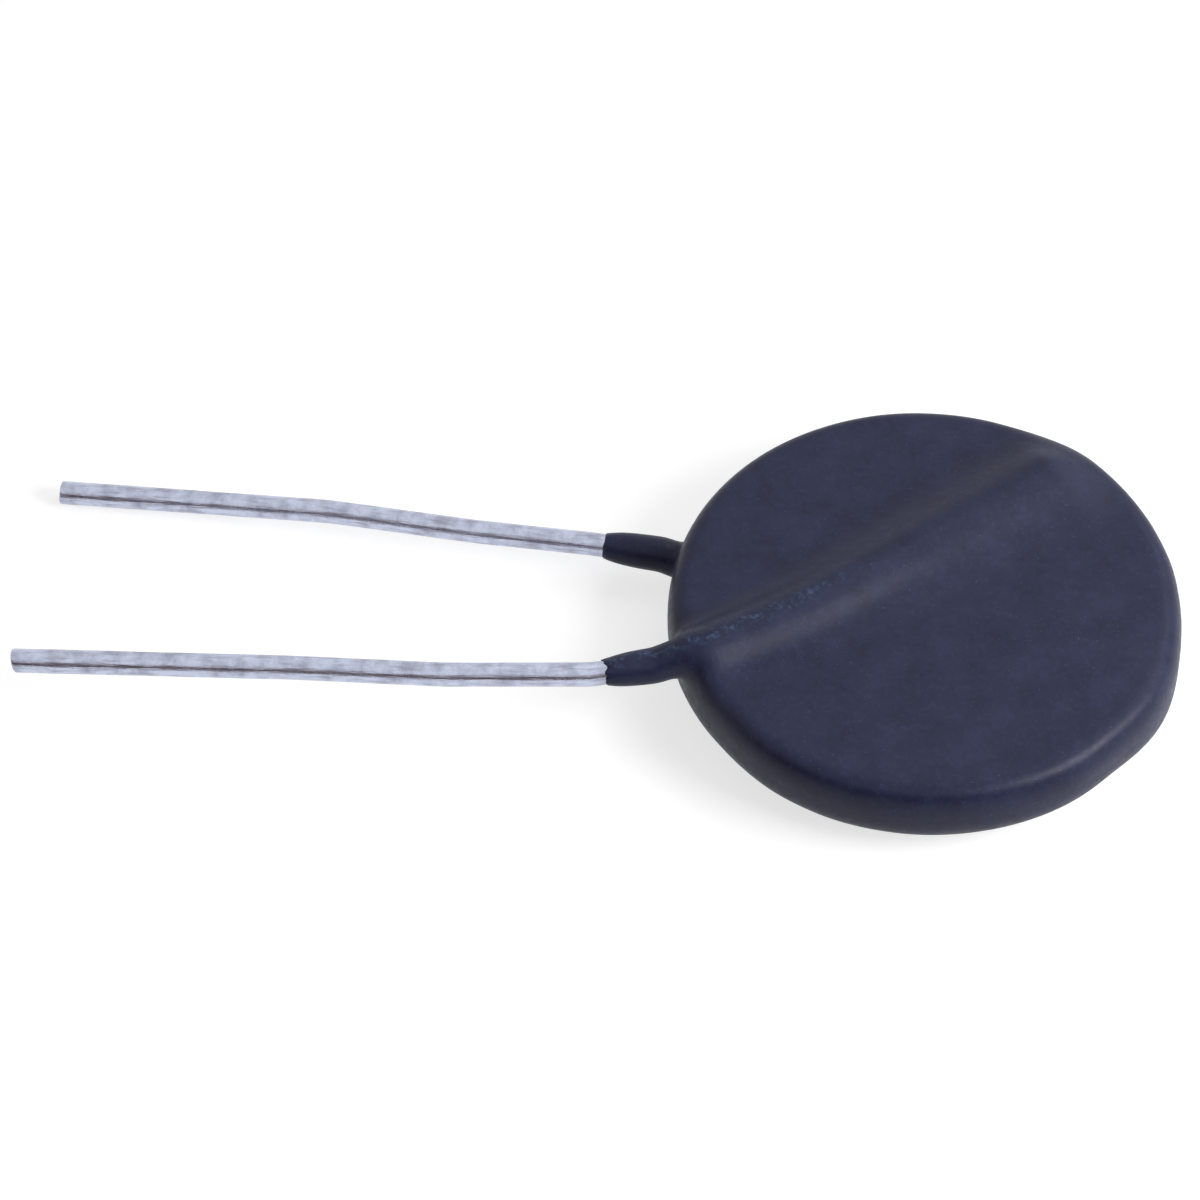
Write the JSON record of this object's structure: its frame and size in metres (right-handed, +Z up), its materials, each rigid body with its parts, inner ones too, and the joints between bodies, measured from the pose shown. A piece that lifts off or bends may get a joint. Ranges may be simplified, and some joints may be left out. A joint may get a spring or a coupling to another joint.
{
  "type": "ntc thermistor",
  "caption": "Dark resin-dipped ceramic disc with two straight tinned wire leads, an NTC thermistor that limits inrush current.",
  "frame": {"origin": "middle of the part's outline seen from above, at the height of its lowest points, with the part lying on its back as it comes to rest", "axes": "+X from the leads' free ends to the disc, +Z up through the disc's front face, +Y completes a right-handed frame, toward the back lead"},
  "size_m": [0.0486, 0.0214, 0.0049],
  "materials": {
    "resin": "dipped and cured resin, satin, dark slate blue",
    "ceramic": "sintered metal oxide, dark grey",
    "silver": "fired silver paste, matte",
    "solder": "solder, satin",
    "tinned_copper": "hot tinned copper wire, mottled"
  },
  "bodies": {
    "root": {"resin_coating": "resin", "ceramic_disc": "ceramic", "front_electrode": "silver", "back_electrode": "silver", "front_solder": "solder", "back_solder": "solder", "front_lead": "tinned_copper", "back_lead": "tinned_copper"}
  },
  "joints": []
}
